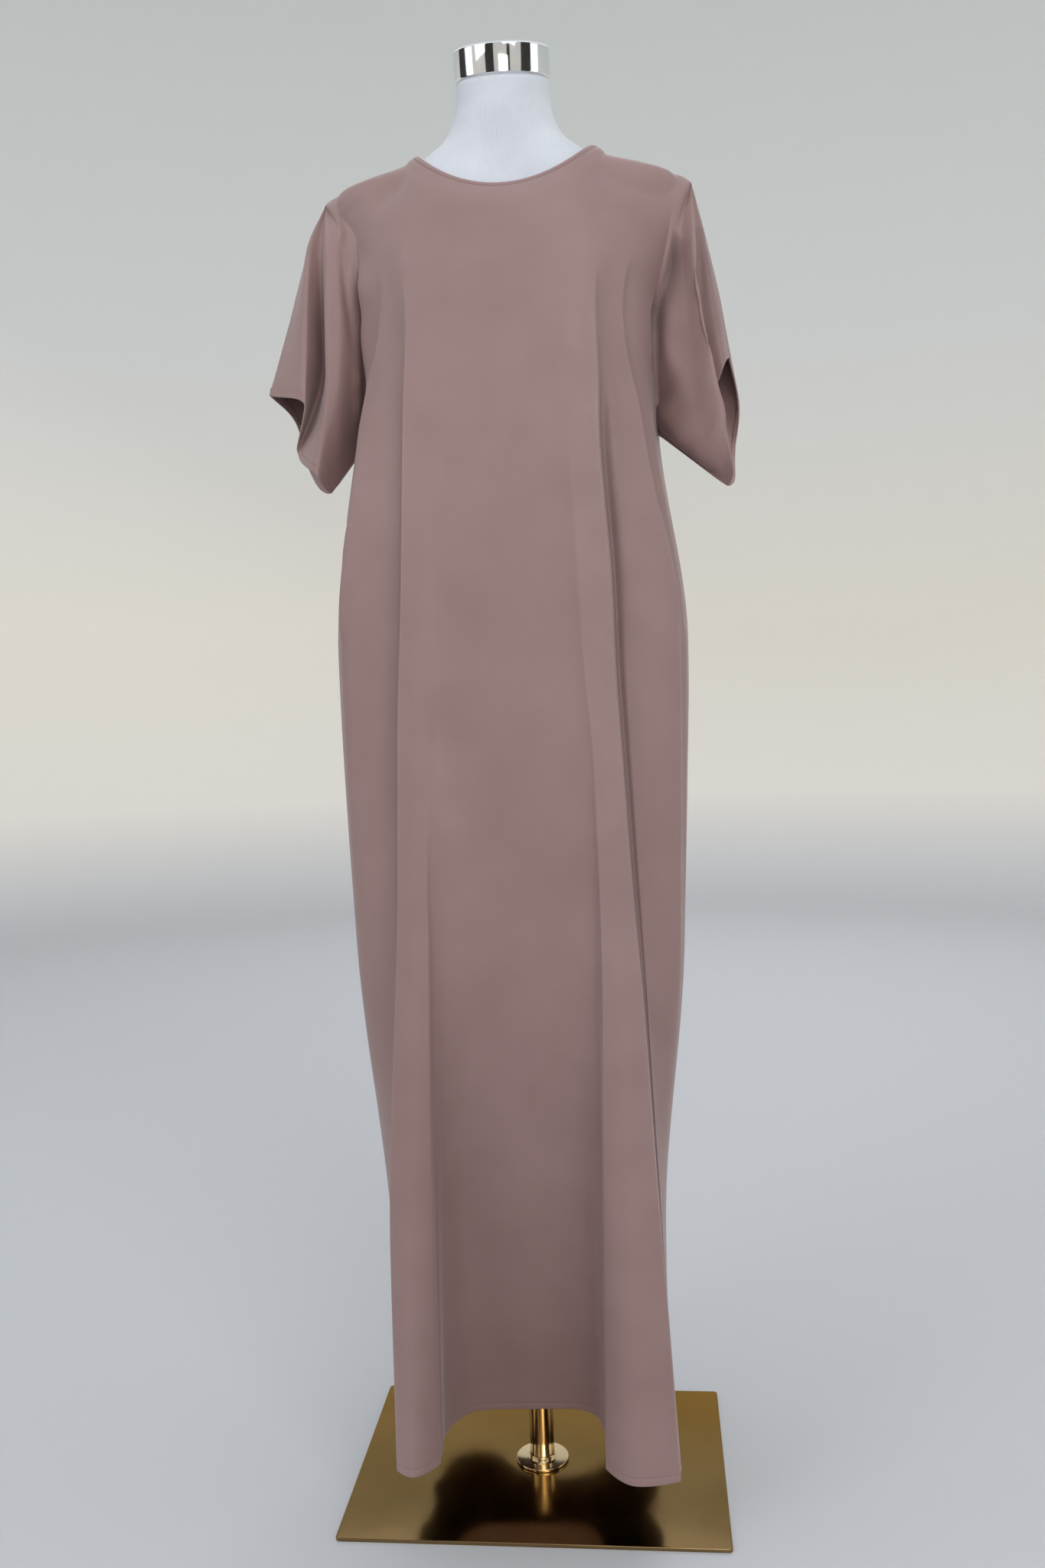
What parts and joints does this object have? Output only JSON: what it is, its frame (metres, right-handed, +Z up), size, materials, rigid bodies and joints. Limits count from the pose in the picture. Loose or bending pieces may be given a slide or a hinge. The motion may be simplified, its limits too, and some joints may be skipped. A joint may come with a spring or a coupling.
{
  "type": "abaya dress on a limbless dress form with a pole stand",
  "caption": "Long loose round-necked dress with wide short sleeves cut in one with the body, worn on a limbless dress form with a slim pole and a flat base, for display or as a wardrobe prop.",
  "frame": {"origin": "centre of the base plate's underside, which is the floor", "axes": "+Z up the pole, the front of the dress faces -Y, +X is the viewer's right when facing the front"},
  "size_m": [0.5, 0.322, 1.5283],
  "materials": {
    "crepe": "smooth mauve-taupe crepe with a soft satin sheen",
    "cover": "white fine-ribbed jersey cover",
    "chrome": "polished",
    "gold": "polished gold-coloured plating",
    "bronze_gold": "satin to mirror bronze-gold plating"
  },
  "bodies": {
    "root": {"dress_front": "crepe", "dress_back": "crepe", "neck_binding": "crepe", "dress_form": "cover", "neck_cap": "chrome", "pole": "gold", "base_flange": "gold", "base_plate": "bronze_gold"}
  },
  "joints": []
}
